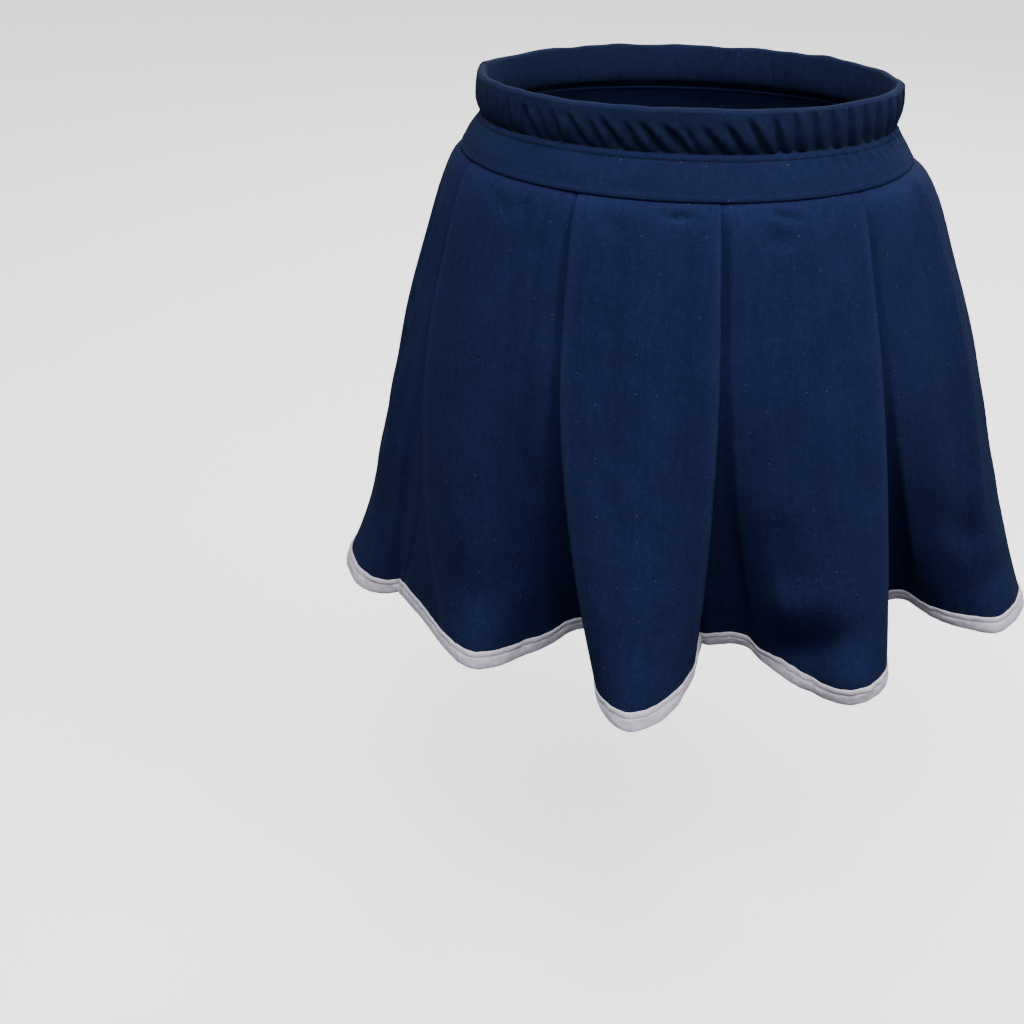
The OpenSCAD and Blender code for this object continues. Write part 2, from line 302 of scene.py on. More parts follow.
# Soft furrows (depth above 0) and ridges (below 0) of each panel: share across the panel at the
# yoke and at the hem, share of the length where it starts and ends, width and depth.
FURROWS = {
    "front_center": [
        (0.30, 0.24, 0.02, 0.75, 7, 0.9), (0.81, 0.74, 0.02, 0.80, 7, 1.7),
        (0.52, 0.45, 0.10, 1.10, 12, -1.0), (0.10, 0.12, 0.25, 1.0, 8, -0.7),
    ],
    "front_left": [
        (0.30, 0.34, 0.04, 0.62, 8, 1.2), (0.57, 0.52, 0.05, 0.78, 7, 1.8),
        (0.13, 0.10, 0.00, 0.35, 6, 0.8), (0.66, 0.63, 0.06, 0.75, 8, -1.1),
        (0.75, 0.76, 0.00, 0.55, 5, 1.0), (0.86, 0.86, 0.10, 0.90, 12, -0.9),
    ],
    "side_left": [
        (0.36, 0.52, -0.05, 0.85, 6, -3.6), (0.24, 0.34, 0.05, 0.75, 9, 2.8),
        (0.62, 0.72, 0.08, 0.80, 12, 1.6),
    ],
    "front_right": [
        (0.86, 0.85, 0.00, 0.90, 3.5, 1.5), (0.93, 0.93, 0.04, 0.95, 5, -1.0),
        (0.70, 0.70, 0.00, 0.95, 13, 1.3), (0.26, 0.34, 0.05, 0.85, 12, -0.8),
    ],
    "side_right": [
        (0.74, 0.66, 0.06, 0.90, 6, 4.2), (0.87, 0.84, 0.05, 0.75, 5, -2.6),
        (1.02, 0.52, 0.34, 1.15, 5, 3.0), (1.10, 0.66, 0.36, 1.15, 5, -2.2),
        (0.42, 0.36, 0.30, 1.0, 10, 2.2),
    ],
    "back_left": [(0.35, 0.40, 0.0, 0.8, 10, 1.6), (0.66, 0.60, 0.1, 0.9, 11, -1.4)],
    "back_center": [
        (0.30, 0.28, 0.0, 0.8, 10, 1.5), (0.70, 0.73, 0.0, 0.7, 9, 1.4), (0.50, 0.50, 0.1, 1.0, 14, -1.4),
    ],
    "back_right": [(0.40, 0.34, 0.0, 0.8, 10, 1.6), (0.70, 0.66, 0.1, 0.9, 11, -1.4)],
}
# Small dents: share across, share down, width across, width down, depth, and a slant
DENTS = {
    "front_center": [
        (0.76, 0.026, 8, 2.6, 2.8, 0.0), (0.25, 0.050, 9, 7, 1.3, 0.3), (0.90, 0.030, 4, 5, 1.2, 0.2),
    ],
    "front_left": [
        (0.38, 0.026, 8, 2.8, 2.6, 0.3), (0.31, 0.066, 8, 7, 2.3, 0.0), (0.11, 0.024, 4, 4, 1.3, 0.0),
        (0.75, 0.030, 5, 7, 1.6, -0.2),
        (0.27, 0.800, 24, 15, -5.0, -0.25), (0.36, 0.905, 32, 13, 6.5, -0.45),
        (0.70, 0.955, 20, 10, -3.4, 0.0), (0.80, 0.870, 14, 14, 1.6, 0.0),
    ],
    "front_right": [
        (0.70, 0.040, 5, 7, 1.7, 0.2), (0.86, 0.034, 4, 6, 1.3, 0.0), (0.48, 0.05, 9, 6, 1.2, 0.2),
        (0.30, 0.03, 6, 4, 0.8, 0.0),
        (0.40, 0.84, 26, 16, 2.2, 0.3),
    ],
    "side_left": [
        (0.30, 0.74, 16, 22, 3.2, 0.2), (0.60, 0.88, 16, 10, 2.4, -0.2), (0.50, 0.80, 18, 10, -1.8, 0.0),
    ],
    "side_right": [(0.72, 0.80, 16, 16, 2.4, 0.2), (0.50, 0.62, 14, 18, 1.6, 0.0)],
    "back_left": [(0.4, 0.8, 22, 16, 2.5, 0.2)],
    "back_center": [(0.35, 0.78, 24, 16, 2.4, 0.2), (0.7, 0.86, 22, 14, -2.0, -0.2)],
    "back_right": [(0.6, 0.8, 22, 16, 2.5, -0.2)],
}

# Side walls of an open flute, pulled in behind a crease: share of the path where the wall starts,
# lies deepest and meets the crease (at its top and at the hem), its depth, and the share of the
# length where it starts
TUCKS = {
    "front_left": [(0.35, 1.75, 2.20, 2.85, 9.5, 0.40)],
    "side_left": [(0.40, 1.70, 2.50, 2.90, 4.0, 0.45)],
}

# How much further a gore's cloth dips where it passes behind the pleat edge of its neighbour, how
# far from that edge the dip lies and how wide it is, both as lengths of u
EDGE_GAP = 4.2
GAP_FROM_END = 1.3
GAP_WIDTH = 0.70


def u_columns(fine):
    per = (7, 11, 18, 10, 18, 11, 7) if fine else (4, 6, 10, 6, 10, 6, 4)
    cols = [np.linspace(k, k + 1, n, endpoint=False) for k, n in enumerate(per)]
    return np.concatenate(cols + [[7.0]])


def v_rows(fine):
    step = 1.0 if fine else 2.0
    head = np.linspace(-0.018, 0.0, int(4 / step) + 1)[:-1]
    top = np.arange(0.0, 0.10, 0.004 * step)
    rest = np.linspace(0.10, 1.0, int(104 / step))
    return np.concatenate([head, top, rest])


def relief(i, p, u, v):
    """How far each point stands out from the plain surface, in millimetres."""
    name = PANELS[i]
    across, down = lengths_across(p), lengths_down(p)
    uu, vv = np.meshgrid(u, v)
    face = smooth(1.9, 2.6, uu) * (1 - smooth(4.4, 5.1, uu))
    total = np.zeros_like(uu)
    for f0, f1, v0, v1, width, depth in FURROWS[name]:
        mid_u = 2 + 3 * mix(f0, f1, np.clip(v, 0, 1))
        mid = np.array([np.interp(m, u, row) for m, row in zip(mid_u, across)])[:, None]
        spread = width * (0.6 + 0.9 * vv)
        window = smooth(v0 - 0.001, v0 + 0.10, vv) * (1 - smooth(v1 - 0.25, v1, vv))
        total -= depth * np.exp(-((across - mid) / spread) ** 2) * window
    for f, share, wide, tall, depth, slant in DENTS.get(name, ()):
        row = int(np.argmin(np.abs(v - share)))
        mid = np.interp(2 + 3 * f, u, across[row])
        mid_v = down[row, int(np.argmin(np.abs(u - (2 + 3 * f))))]
        dx = across - mid
        dy = down - mid_v
        total -= depth * np.exp(-(dx / wide) ** 2 - ((dy - slant * dx) / tall) ** 2)
    total *= face * smooth(0.0, 0.012, vv)
    slow = Waves(100 + i, 45, 130, 12, stretch=2.2)(across + 300 * i, down)
    mid_size = Waves(200 + i, 14, 40, 16, stretch=1.8)(across + 300 * i, down)
    small = Waves(300 + i, 4, 9, 18)(across + 300 * i, down)
    soft = 0.55 * slow * (0.4 + 1.3 * vv) + 0.16 * mid_size * (0.6 + vv) + 0.035 * small
    total += soft * smooth(0.0, 0.05, vv) * (0.12 + 0.88 * face)
    gap = EDGE_GAP * smooth(0.0, 0.12, vv) * (0.45 + 0.55 * vv)
    for is_over, from_end in ((OVER_L[i], uu), (OVER_R[i], 7 - uu)):
        if not is_over:
            dip = np.exp(-((from_end - GAP_FROM_END) / GAP_WIDTH) ** 2)
            total -= gap * dip * smooth(0.0, 0.8, from_end)
    for low, deepest, crease, crease_hem, depth, v0 in TUCKS.get(name, ()):
        line = mix(crease, crease_hem, smooth(v0, 1.0, vv))
        wall = smooth(low, deepest, uu) * np.clip((line - uu) / (line - deepest), 0, 1)
        total -= depth * wall * smooth(v0, 1.0, vv)
    pillow = (1 - (np.clip((uu - 3.5) / 1.5, -1, 1)) ** 2) * 0.9 * smooth(0.0, 0.1, vv)
    return total + pillow * (1 - 0.5 * vv)


# ---------------------------------------------------------------- meshes
def new_mesh(name, points, faces, uv=None):
    """A smooth-shaded object from points, and cloth coordinates, in millimetres."""
    mesh = bpy.data.meshes.new(name)
    mesh.from_pydata((np.asarray(points) * MM).tolist(), [], [list(map(int, f)) for f in faces])
    mesh.update()
    if uv is not None:
        layer = mesh.uv_layers.new(name="cloth")
        loops = np.zeros(len(mesh.loops), dtype=int)
        mesh.loops.foreach_get("vertex_index", loops)
        layer.data.foreach_set("uv", (np.asarray(uv)[loops] * MM).ravel())
    mesh.polygons.foreach_set("use_smooth", [True] * len(mesh.polygons))
    obj = bpy.data.objects.new(name, mesh)
    bpy.context.scene.collection.objects.link(obj)
    return obj


def grid_faces(rows, cols, close_cols=False):
    count = cols if close_cols else cols - 1
    r, c = np.meshgrid(np.arange(rows - 1), np.arange(count), indexing="ij")
    c2 = (c + 1) % cols
    quads = np.stack([r * cols + c, (r + 1) * cols + c, (r + 1) * cols + c2, r * cols + c2], axis=-1)
    return quads.reshape(-1, 4)


def blend_panel(obj):
    """The object's placement is baked into its mesh."""
    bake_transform(obj)


def solidify(obj, thickness, offset=0.0):
    mod = obj.modifiers.new("cloth thickness", "SOLIDIFY")
    mod.thickness = thickness * MM
    mod.offset = offset
    mod.use_even_offset = False
    mod.use_quality_normals = True


# ---------------------------------------------------------------- skirt cloth
def panel_cloth(i, fine):
    """One gore: the pleat that shows and the cloth folded under on both sides of it."""
    name = PANELS[i]
    u, v = u_columns(fine), v_rows(fine)
    plain = surface(i, u, v)
    out = relief(i, plain, u, v)
    shaped = plain + normals(plain) * out[:, :, None]
    across, down = lengths_across(shaped), lengths_down(shaped)
    middle = across[:, [len(u) // 2]]
    uv = np.stack([across - middle, down], axis=2).reshape(-1, 2)
    keep = v <= CLOTH_END
    rows = int(keep.sum())
    points = shaped[keep].reshape(-1, 3)
    obj = new_mesh("pleat_cloth_" + name, points, grid_faces(rows, len(u)), uv[: len(points)])
    uu, vv = np.meshgrid(u, v[keep])
    # where the pleat creases lie, for the painted highlight along them in the knit
    crease = np.exp(-((uu - 2) / 0.12) ** 2) * OVER_L[i] + np.exp(-((uu - 5) / 0.12) ** 2) * OVER_R[i]
    set_float(obj, "crease", crease * smooth(0.0, 0.05, vv))
    return obj, u, v, shaped


def set_float(obj, name, values):
    attribute = obj.data.attributes.new(name, "FLOAT", "POINT")
    attribute.data.foreach_set("value", np.asarray(values, np.float32).ravel())


# outline of the folded binding: share of its height from the top, and how far out from the cloth
BINDING_OUTLINE = (
    (0.000, 0.50), (0.015, 1.00), (0.070, 1.25), (0.180, 1.42), (0.270, 1.26), (0.320, 0.74),
    (0.370, 1.26), (0.450, 1.46), (0.600, 1.55), (0.750, 1.50), (0.870, 1.32), (0.950, 1.00),
    (0.990, 0.55),
)
STITCH_ROW = 5
# the binding never comes nearer than this to the middle of the cloth it covers
COVER = 0.66


def binding_points(u, v, shaped, seed):
    """The binding's outer face, its bottom fold and its inner face, as rows over the same columns."""
    normal = normals(shaped)
    hem = lengths_across(shaped)[-1]
    pucker = Waves(seed, 5, 12, 10)
    rows = []
    levels = [(f, d, 1) for f, d in BINDING_OUTLINE]
    levels += [(1.0, 0.0, 1)]
    levels += [(f, d, -1) for f, d in reversed(BINDING_OUTLINE)]
    for f, stand, side in levels:
        at = V_BINDING + (1 - V_BINDING) * f
        k = min(int(np.searchsorted(v, at)), len(v) - 1)
        s = (at - v[k - 1]) / (v[k] - v[k - 1])
        p = shaped[k - 1] * (1 - s) + shaped[k] * s
        n = normal[k - 1] * (1 - s) + normal[k] * s
        ripple = 0.34 * pucker(hem, 9 * f) * math.sin(math.pi * min(f * 1.15, 1))
        wave = 0.18 * pucker(hem + 50, 0 * hem)
        out = side * np.maximum(stand + side * ripple, min(stand, COVER))
        row = p + n * out[:, None]
        row[:, 2] += wave * (1 if f < 0.5 else 0.6)
        rows.append(row)
    return np.array(rows)


def binding_cloth(i, u, v, shaped):
    rows = binding_points(u, v, shaped, 500 + i)
    across = lengths_across(rows)
    around = lengths_down(rows)
    uv = np.stack([across, around], axis=2).reshape(-1, 2)
    count, cols = rows.shape[:2]
    faces = grid_faces(count, cols)
    ends = []
    for c in (0, cols - 1):
        for r in range(count // 2):
            quad = [k * cols + c for k in (r, r + 1, count - 2 - r, count - 1 - r)]
            ends.append(quad if c == 0 else quad[::-1])
    return new_mesh("hem_binding_" + PANELS[i], rows.reshape(-1, 3), list(faces) + ends, uv), rows


# Length of a stitch and the gap to the next, in the hem and in the casing seam
HEM_STITCH = (2.5, 0.55)
CASING_STITCH = (2.3, 0.5)
# A stitch: share of its length and of its thickness at each of its rings, and points in a ring
STITCH_SHAPE = ((0.0, 0.25), (0.2, 0.85), (0.5, 1.0), (0.8, 0.85), (1.0, 0.25))
STITCH_SIDES = 6


def stitch_mesh(name, starts, ends, outs, width, height):
    """Short rounded stitches from start to end, lying on a cloth whose outward side is outs."""
    shape, sides = STITCH_SHAPE, STITCH_SIDES
    points, faces = [], []
    for a, b, n in zip(starts, ends, outs):
        along = (b - a) / max(np.linalg.norm(b - a), 1e-6)
        side = np.cross(n, along)
        base = len(points)
        for f, size in shape:
            centre = a + (b - a) * f - n * height * 0.35 * (1 - size)
            for k in range(sides):
                turn = 2 * math.pi * k / sides
                offset = side * (width * size * math.cos(turn)) + n * (height * size * math.sin(turn))
                points.append(centre + offset)
        for r in range(len(shape) - 1):
            for k in range(sides):
                k2 = (k + 1) % sides
                faces.append([base + r * sides + k, base + r * sides + k2,
                              base + (r + 1) * sides + k2, base + (r + 1) * sides + k])
        faces.append([base + k for k in reversed(range(sides))])
        faces.append([base + (len(shape) - 1) * sides + k for k in range(sides)])
    return new_mesh(name, np.array(points), faces)


def row_stitches(line, out, length, gap):
    """Starts, ends and outward directions of the stitches along a line of points."""
    step = np.linalg.norm(np.diff(line, axis=0), axis=1)
    s = np.concatenate([[0.0], np.cumsum(step)])
    count = int((s[-1] - gap) / (length + gap))
    first = gap + np.arange(count) * (length + gap)

    def at(values, where):
        return np.stack([np.interp(where, s, values[:, k]) for k in range(3)], axis=1)

    normal = at(out, first + length / 2)
    normal /= np.linalg.norm(normal, axis=1, keepdims=True)
    return at(line, first), at(line, first + length), normal, first + length / 2, s


def hem_stitches(i, u, rows):
    """The row of topstitching that closes the binding, on its outer and inner face."""
    starts, ends, outs, weights_at = [], [], [], []
    normal = normals(rows)
    for r in (STITCH_ROW, rows.shape[0] - 1 - STITCH_ROW):
        a, b, n, middle, s = row_stitches(rows[r], normal[r], *HEM_STITCH)
        starts.append(a)
        ends.append(b)
        outs.append(n)
        weights_at.append(np.interp(middle, s, u))
    obj = stitch_mesh("hem_stitches_" + PANELS[i], np.concatenate(starts), np.concatenate(ends),
                      np.concatenate(outs), 0.26, 0.24)
    return obj, np.repeat(np.concatenate(weights_at), len(STITCH_SHAPE) * STITCH_SIDES)


# ---------------------------------------------------------------- waist
def ellipse_length(a, b, t):
    """Arc length from the centre front, along an ellipse, at each parameter."""
    grid_t = np.radians(np.linspace(-200, 380, 2901))
    x, y = a * np.sin(grid_t), -b * np.cos(grid_t)
    s = np.concatenate([[0], np.cumsum(np.hypot(np.diff(x), np.diff(y)))])
    s -= np.interp(0.0, grid_t, s)
    return np.interp(np.radians(t), grid_t, s)


# Furrows of the gathered casing: distance from the centre front along the waist, how far the
# furrow leans over its height, width, depth, and the share of the height where it fades out.
FRONT_GATHERS = (
    (-152, 4, 2.4, 1.5, 0.10), (-138, 6, 1.8, 1.0, 0.25), (-126, 2, 2.0, 1.2, 0.20),
    (-113, 6, 1.6, 0.9, 0.35), (-101, 2, 1.7, 1.5, 0.30), (-87, 9, 2.6, 1.9, 0.36),
    (-76, 6, 1.8, 1.3, 0.40), (-66, 7, 2.0, 1.6, 0.38), (-54, 14, 2.4, 1.7, 0.34),
    (-42, 10, 1.8, 1.2, 0.42), (-33, 15, 2.6, 1.9, 0.38), (-20, 12, 2.0, 1.4, 0.42),
    (-10, 16, 2.6, 1.9, 0.42), (3, 18, 3.0, 2.1, 0.44), (13, 13, 2.0, 1.2, 0.50),
    (24, 16, 2.6, 1.5, 0.46), (37, 14, 2.2, 1.6, 0.36), (50, 12, 2.4, 1.9, 0.24),
    (62, 6, 2.0, 1.5, 0.20),
)
# Past the last of those, the furrows stand nearly upright, evenly spaced, up to the side seam
RUFFLE_FROM = 73.0
RUFFLE_TO = 172.0
RUFFLE_STEP = 11.6


def gathers(s, height, half):
    """How far the casing's outer cloth lies in. height is 0 at the top and 1 at the seam."""
    inward = np.zeros(np.broadcast(s, height).shape)
    if half == "front":
        marks = list(FRONT_GATHERS)
        count = int((RUFFLE_TO - RUFFLE_FROM) / RUFFLE_STEP)
        for k in range(count + 1):
            lean = 2.4 + 0.5 * math.sin(2.1 * k)
            marks.append((RUFFLE_FROM + k * RUFFLE_STEP, lean, 2.1, 1.7, 0.06))
    else:
        rng = np.random.default_rng(77)
        start = ellipse_length(WAIST[0], WAIST[1], 90.0)
        marks = []
        place = float(start) + 6
        while place < float(ellipse_length(WAIST[0], WAIST[1], 270.0)) - 5:
            marks.append((place, rng.uniform(-6, 6), rng.uniform(1.7, 2.7), rng.uniform(1.0, 1.9),
                          rng.uniform(0.05, 0.4)))
            place += rng.uniform(8.5, 13.5)
    for place, lean, width, depth, fade in marks:
        line = place + lean * (height - 0.5)
        window = smooth(fade - 0.22, fade + 0.16, height)
        spread = width * (0.75 + 0.5 * height)
        inward += 1.35 * depth * window * np.exp(-((s - line) / spread) ** 2)
        swell = 0.45 * depth * window
        inward -= swell * np.exp(-((s - line - 1.9 * spread) / (1.3 * spread)) ** 2)
    slow = Waves(41 if half == "front" else 42, 20, 60, 10, stretch=2.5)(s, 25 * height)
    small = Waves(43 if half == "front" else 44, 4.5, 9, 14, stretch=3.0)(s + 3.5 * height, 25 * height)
    return inward + 0.3 * slow + 0.16 * small * smooth(0.15, 0.5, height)


# Ellipse parameters of the side seams at the two ends of each half of the waist
HALF_TURN = {"front": (-90.0, 90.0), "back": (90.0, 270.0)}
# The two halves of the casing stop this many degrees short of the side seams
CASING_GAP = 0.03
# The casing's outer cloth is never pressed further in than this, where it would meet the elastic
CASING_LIMIT = -1.25


def casing_cloth(half, fine):
    """One half of the gathered casing: outer face, rolled top edge and inner face in one loop."""
    t0, t1 = HALF_TURN[half]
    cols = 460 if fine else 200
    t = np.linspace(t0 + CASING_GAP, t1 - CASING_GAP, cols)
    s = ellipse_length(WAIST[0], WAIST[1], t)
    outer_n, roll_n, inner_n = (44, 12, 14) if fine else (24, 8, 8)
    profile = []
    for k in range(outer_n + 1):
        h = k / outer_n
        bulge = 2.0 * math.sin(math.pi * min(1, 0.10 + 0.90 * h)) ** 0.7 - 1.2 * h ** 4
        profile.append((0.30 + bulge, mix(Z_SEAM + 0.2, Z_TOP - 1.5, 1 - h), h, 1.0))
    profile = profile[::-1]
    r = CASING_T * 0.5 - 0.1
    for k in range(1, roll_n):
        turn = math.pi * k / roll_n
        profile.append((0.4 - r + r * math.cos(turn), Z_TOP - 1.5 + 1.5 * math.sin(turn), 0.0, 0.0))
    for k in range(inner_n + 1):
        h = k / inner_n
        belly = 0.9 * math.sin(math.pi * h)
        inside = -CASING_T + 0.5 - belly + 2.0 * h ** 10
        profile.append((inside, mix(Z_TOP - 1.5, Z_SEAM + 0.2, h), h, -0.22))
    for k in range(1, 4):
        profile.append((mix(profile[-1][0], -0.9, 0.4), Z_SEAM + 0.1, 1.0, 0.0))
    offset, z, height, side = (np.array(part)[:, None] for part in zip(*profile))
    inward = gathers(s[None, :], height, half)
    rim = Waves(51, 16, 50, 10)(s[None, :], 0 * height)
    tt = t[None, :]
    from_seam = np.minimum(tt - t0, t1 - tt)
    end_flare = np.exp(-(from_seam / 9.0) ** 2) * (1 - height) ** 2
    off = offset - side * inward * np.sin(np.pi * np.clip(height, 0.02, 0.98)) ** 0.35 + end_flare
    off = off + 0.2 * rim * (1 - height) ** 2
    off = np.where(side > 0, CASING_LIMIT + np.log1p(np.exp((off - CASING_LIMIT) * 3)) / 3, off)
    x, y = ring(np.broadcast_to(tt, off.shape), off, WAIST[0], WAIST[1])
    top = np.clip((z - 6) / 6.5, 0, 1)
    zz = z + top * (0.28 * rim + 1.3 * np.exp(-(from_seam / 7.0) ** 2))
    points = np.stack([x, y, np.broadcast_to(zz, x.shape)], axis=2)[::-1]
    count = points.shape[0]
    faces = list(grid_faces(count, cols))
    # the loop is closed, so the first row joins the last
    for c in range(cols - 1):
        faces.append([(count - 1) * cols + c, c, c + 1, (count - 1) * cols + c + 1])
    ring_ids = [r * cols for r in range(count)]
    faces.append(ring_ids)
    faces.append([r + cols - 1 for r in reversed(ring_ids)])
    around = lengths_down(points)
    uv = np.stack([np.broadcast_to(s, x.shape), around], axis=2).reshape(-1, 2)
    return new_mesh("casing_cloth_" + half, points.reshape(-1, 3), faces, uv)


YOKE_TOP = (WAIST[0] - 1.2, WAIST[1] - 0.9)
# Ridges that fan down from the casing: how many on a side, and where they start and how far apart
# they are, along the waist from the middle
RIDGES = 15
RIDGE_FROM = 66.0
RIDGE_STEP = 8.2
# The yoke's lower edge turns under into the seam: how far in and how far down each row lies
TURNED_UNDER = ((0.35, 0.30), (0.95, 0.42), (1.6, 0.25), (2.2, -0.8), (2.9, -3.2))


def yoke_points(t, f, lift=0.0):
    """Points of the yoke's outer face. f is 0 at the casing seam and 1 at the skirt seam."""
    t = np.asarray(t, float)
    f = np.asarray(f, float)
    a = mix(YOKE_TOP[0], YOKE[0], f)
    b = mix(YOKE_TOP[1], YOKE[1], f)
    bulge = 0.95 * np.sin(np.pi * np.clip(f, 0, 1)) + lift
    x, y = ring(t, bulge, a, b)
    z = mix(Z_SEAM + 0.4, Z_YOKE - YOKE_DIP * np.abs(cosd(t)) + 0.1, f)
    return x, y, z


def yoke_lift(s, f, half):
    """Ridges fanning down from the casing seam, the tuck along it and the rolled lower edge."""
    lift = np.zeros(np.broadcast(s, f).shape)
    side = 1.0 if half == "front" else -1.0
    base = 0.0 if half == "front" else float(ellipse_length(WAIST[0], WAIST[1], 180.0))
    for k in range(RIDGES):
        place = side * (RIDGE_FROM + RIDGE_STEP * k)
        reach = 0.75 - 0.018 * k
        line = base + place + side * (2.0 + 0.6 * k) * f
        size = 1.05 if half == "front" else 0.7
        lift = lift + size * np.exp(-((s - line) / (1.9 + 1.4 * f)) ** 2) * (1 - smooth(0.1, reach, f))
    if half == "back":
        for k in range(RIDGES):
            line = base - side * (RIDGE_FROM + RIDGE_STEP * k) + 2.0 * f
            lift = lift + 0.5 * np.exp(-((s - line) / (2.3 + 1.4 * f)) ** 2) * (1 - smooth(0.1, 0.7, f))
    slow = Waves(61 if half == "front" else 62, 14, 60, 14, stretch=0.5)(s, 20 * f)
    lift = lift + 0.16 * slow * np.sin(np.pi * np.clip(f, 0, 1))
    tuck = 0.5 * np.exp(-((f - 0.085) / 0.055) ** 2)
    lines = -0.38 * np.exp(-((f - 0.01) / 0.018) ** 2) - 0.38 * np.exp(-((f - 0.165) / 0.018) ** 2)
    edge = 0.35 * np.exp(-((f - 0.93) / 0.05) ** 2)
    return lift + tuck + lines + edge


def yoke_cloth(half, fine):
    """One half of the yoke, from under the casing to the part turned into the skirt seam."""
    t0, t1 = HALF_TURN[half]
    cols = 330 if fine else 160
    t = np.linspace(t0, t1, cols)
    s = ellipse_length(WAIST[0], WAIST[1], t)
    near_casing = np.linspace(-0.06, 0.24, 26 if fine else 16)
    f = np.concatenate([near_casing, np.linspace(0.26, 1.0, 30 if fine else 18)])
    lift = yoke_lift(s[None, :], f[:, None], half)
    end = np.minimum(t - t0, t1 - t)
    lift = lift - 0.75 * np.exp(-(end / 0.75) ** 2)[None, :]
    lift = lift + 0.3 * np.exp(-((end - 1.9) / 0.9) ** 2)[None, :]
    x, y, z = yoke_points(t[None, :], f[:, None], lift)
    points = np.stack([x, y, z], axis=2)
    turned = []
    for inward, down in TURNED_UNDER:
        xx, yy = ring(t, lift[-1] * 0.5 - inward, YOKE[0], YOKE[1])
        turned.append(np.stack([xx, yy, points[-1, :, 2] - down], axis=1))
    points = np.concatenate([points, np.array(turned)])
    across, down = lengths_across(points), lengths_down(points)
    uv = np.stack([np.broadcast_to(s, across.shape), down], axis=2).reshape(-1, 2)
    return new_mesh("yoke_cloth_" + half, points.reshape(-1, 3), grid_faces(len(points), cols), uv)


# Distance between the overlock's stitches along the seam, and how far they stand off the cloth
OVERLOCK_STEP = 1.9
OVERLOCK_OFF = 0.55


def seam_allowance():
    """The trimmed edge of the yoke seam, turned up inside the skirt, and its overlock thread."""
    t = np.linspace(0, 360, 541)[:-1]
    s = ellipse_length(YOKE[0], YOKE[1], t - 180)
    wave = Waves(71, 12, 40, 10)(s, 0 * s)
    rows = []
    for f in np.linspace(0, 1, 9):
        inward = mix(11.4, 6.2, f ** 0.8) + 0.5 * wave * (1 - f)
        x, y = ring(t, -inward, YOKE[0], YOKE[1])
        z = Z_YOKE - YOKE_DIP * np.abs(cosd(t)) + mix(7.2, -2.6, f) + 0.35 * wave * (1 - f)
        rows.append(np.stack([x, y, z], axis=1))
    points = np.array(rows)
    down = lengths_down(points)
    uv = np.stack([np.broadcast_to(s, down.shape), down], axis=2).reshape(-1, 2)
    band = new_mesh("seam_allowance", points.reshape(-1, 3), grid_faces(len(points), len(t), True), uv)
    starts, ends, outs = [], [], []
    closed = np.concatenate([points, points[:, :1]], axis=1)
    step = np.linalg.norm(np.diff(closed[0], axis=0), axis=1)
    place = np.concatenate([[0.0], np.cumsum(step)])
    count = int(place[-1] / OVERLOCK_STEP)
    at = np.linspace(0, place[-1], count, endpoint=False)
    shift = OVERLOCK_STEP / 2
    for row_a, row_b in ((0, 4), (4, 0)):
        first = at + (0.0 if row_a == 0 else shift)
        a = np.stack([np.interp(first, place, closed[row_a][:, k]) for k in range(3)], axis=1)
        b = np.stack([np.interp(first + shift, place, closed[row_b][:, k]) for k in range(3)], axis=1)
        inside = -np.stack([a[:, 0], a[:, 1], 0 * a[:, 0]], axis=1)
        inside /= np.linalg.norm(inside, axis=1, keepdims=True)
        starts.append(a + inside * OVERLOCK_OFF)
        ends.append(b + inside * OVERLOCK_OFF)
        outs.append(inside)
    overlock = stitch_mesh("overlock_thread", np.concatenate(starts), np.concatenate(ends),
                           np.concatenate(outs), 0.2, 0.2)
    return band, overlock


def casing_stitches():
    """Two rows of thread along the seam that closes the casing."""
    t = np.linspace(0, 360, 1441)
    starts, ends, outs = [], [], []
    for f in (0.012, 0.165):
        x, y, z = yoke_points(t, np.full(t.shape, f), -0.02)
        line = np.stack([x, y, z], axis=1)
        nx, ny = ring(t, 1.0, YOKE_TOP[0], YOKE_TOP[1])
        ox, oy = ring(t, 0.0, YOKE_TOP[0], YOKE_TOP[1])
        out = np.stack([nx - ox, ny - oy, 0.35 + 0 * nx], axis=1)
        a, b, n, _, _ = row_stitches(line, out, *CASING_STITCH)
        starts.append(a)
        ends.append(b)
        outs.append(n)
    return stitch_mesh("casing_stitches", np.concatenate(starts), np.concatenate(ends),
                       np.concatenate(outs), 0.27, 0.28)


# ---------------------------------------------------------------- materials
class Nodes:
    """A small helper that adds and links shader nodes."""

    def __init__(self, name):
        self.material = bpy.data.materials.new(name)
        self.material.use_nodes = True
        self.tree = self.material.node_tree
        self.tree.nodes.clear()
        self.out = self.tree.nodes.new("ShaderNodeOutputMaterial")

    def add(self, kind, inputs=None, **settings):
        node = self.tree.nodes.new("ShaderNode" + kind)
        for key, value in settings.items():
            setattr(node, key, value)
        for key, value in (inputs or {}).items():
            self.put(node, key, value)
        return node

    def put(self, node, key, value):
        socket = node.inputs[key]
        if isinstance(value, bpy.types.NodeSocket):
            self.tree.links.new(value, socket)
        else:
            socket.default_value = value

    def math(self, operation, a, b=None):
        node = self.add("Math", operation=operation)
        self.put(node, 0, a)
        if b is not None:
            self.put(node, 1, b)
        return node.outputs[0]

    def ramp(self, value, lo, hi):
        node = self.add("MapRange", {"Value": value, "From Min": lo, "From Max": hi},
                        interpolation_type="SMOOTHSTEP")
        return node.outputs["Result"]

    def mix_colour(self, factor, a, b):
        node = self.add("Mix", data_type="RGBA", blend_type="MIX")
        self.put(node, 0, factor)
        self.put(node, 6, a)
        self.put(node, 7, b)
        return node.outputs[2]


